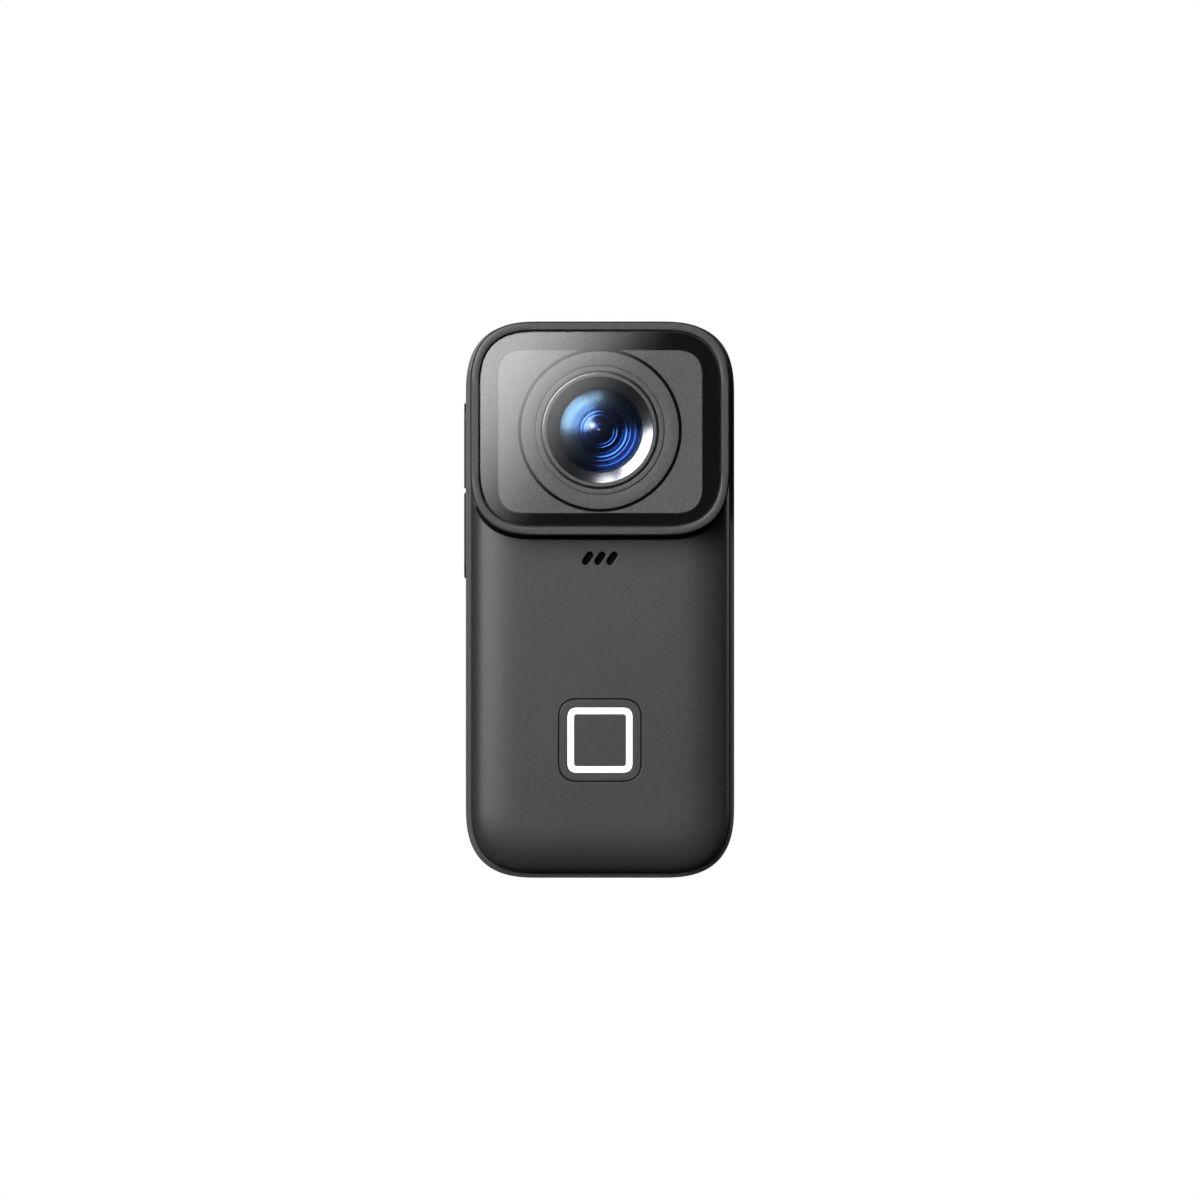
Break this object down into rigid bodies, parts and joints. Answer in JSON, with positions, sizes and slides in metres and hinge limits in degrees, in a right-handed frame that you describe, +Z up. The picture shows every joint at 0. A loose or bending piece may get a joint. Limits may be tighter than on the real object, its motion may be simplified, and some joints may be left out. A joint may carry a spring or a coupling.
{
  "type": "action camera",
  "caption": "Thumb-size action camera with a raised square lens block, a lit shutter key on the front, side buttons, a hinged port door, a rear screen and a tripod socket.",
  "frame": {"origin": "mouth of the tripod socket, in the middle of the underside", "axes": "+X to the right as seen from the front, -Y the way the lens looks, +Z up"},
  "size_m": [0.0302, 0.0214, 0.0621],
  "materials": {
    "shell_plastic": "fine matte grain",
    "frame_plastic": "fine matte grain",
    "bezel_metal": "fine satin coat",
    "cover_glass": "polished, coated",
    "border_ink": "printed black",
    "faceplate_metal": "fine sparkle coat",
    "ring_metal": "turned and polished",
    "barrel_black": "matte black",
    "lens_glass": "blue coated",
    "filter_glass": "clear",
    "sensor": "chip",
    "circuit_board": "solder mask",
    "connector_black": "moulded",
    "shield_tin": "tinned",
    "copper": "rolled copper",
    "battery_foil": "foil",
    "foam": "foam",
    "panel": "screen",
    "screen_glass": "polished black",
    "light_diffuser": "white diffuser",
    "button_black": "satin black",
    "seal_rubber": "soft",
    "steel": "plain",
    "screw_steel": "black oxide",
    "insert_brass": "machined"
  },
  "bodies": {
    "camera": {"front_cover": "shell_plastic", "mid_frame": "frame_plastic", "back_cover": "shell_plastic", "lens_bezel": "bezel_metal", "cover_glass": "cover_glass", "glass_border": "border_ink", "lens_faceplate": "faceplate_metal", "lens_dress_ring": "faceplate_metal", "lens_retaining_ring": "ring_metal", "lens_barrel": "barrel_black", "front_lens": "lens_glass", "middle_lens": "lens_glass", "rear_lens": "lens_glass", "aperture_stop": "barrel_black", "ir_filter": "filter_glass", "lens_holder": "barrel_black", "image_sensor": "sensor", "sensor_board": "circuit_board", "board_connector": "connector_black", "main_board": "circuit_board", "processor_shield": "shield_tin", "heat_spreader": "copper", "wireless_module": "shield_tin", "battery_cell": "battery_foil", "battery_pad": "foam", "display_panel": "panel", "display_glass": "screen_glass", "display_gasket": "foam", "shutter_guide": "connector_black", "shutter_switch": "shield_tin", "switch_board": "circuit_board", "side_button_bracket": "steel", "side_switches": "shield_tin", "door_hinge_pin": "steel", "usb_socket": "shield_tin", "port_board": "circuit_board", "card_socket": "shield_tin", "speaker": "connector_black", "microphone": "shield_tin", "mic_mesh": "seal_rubber", "tripod_insert": "insert_brass", "case_screws": "screw_steel", "board_screws": "steel", "front_seal": "seal_rubber", "back_seal": "seal_rubber", "status_light_pipe": "light_diffuser", "block_gasket": "seal_rubber"},
    "shutter": {"shutter_key": "shell_plastic", "shutter_light_ring": "light_diffuser"},
    "power": {"power_button": "button_black"},
    "mode": {"mode_button": "button_black"},
    "door": {"port_door": "frame_plastic", "port_door_seal": "seal_rubber"}
  },
  "joints": [
    {"name": "shutter_press", "type": "slide", "parent": "camera", "child": "shutter", "axis": [0, 1, 0], "range_m": [0, 0.0003], "stiffness_N_per_m": 4000},
    {"name": "power_press", "type": "slide", "parent": "camera", "child": "power", "axis": [1, 0, 0], "range_m": [0, 0.0002], "stiffness_N_per_m": 6000},
    {"name": "mode_press", "type": "slide", "parent": "camera", "child": "mode", "axis": [1, 0, 0], "range_m": [0, 0.0002], "stiffness_N_per_m": 6000},
    {"name": "door_hinge", "type": "hinge", "parent": "camera", "child": "door", "pos_m": [0.014, 0.0042, 0.036], "axis": [0, 0, 1], "range_deg": [0, 90]}
  ]
}
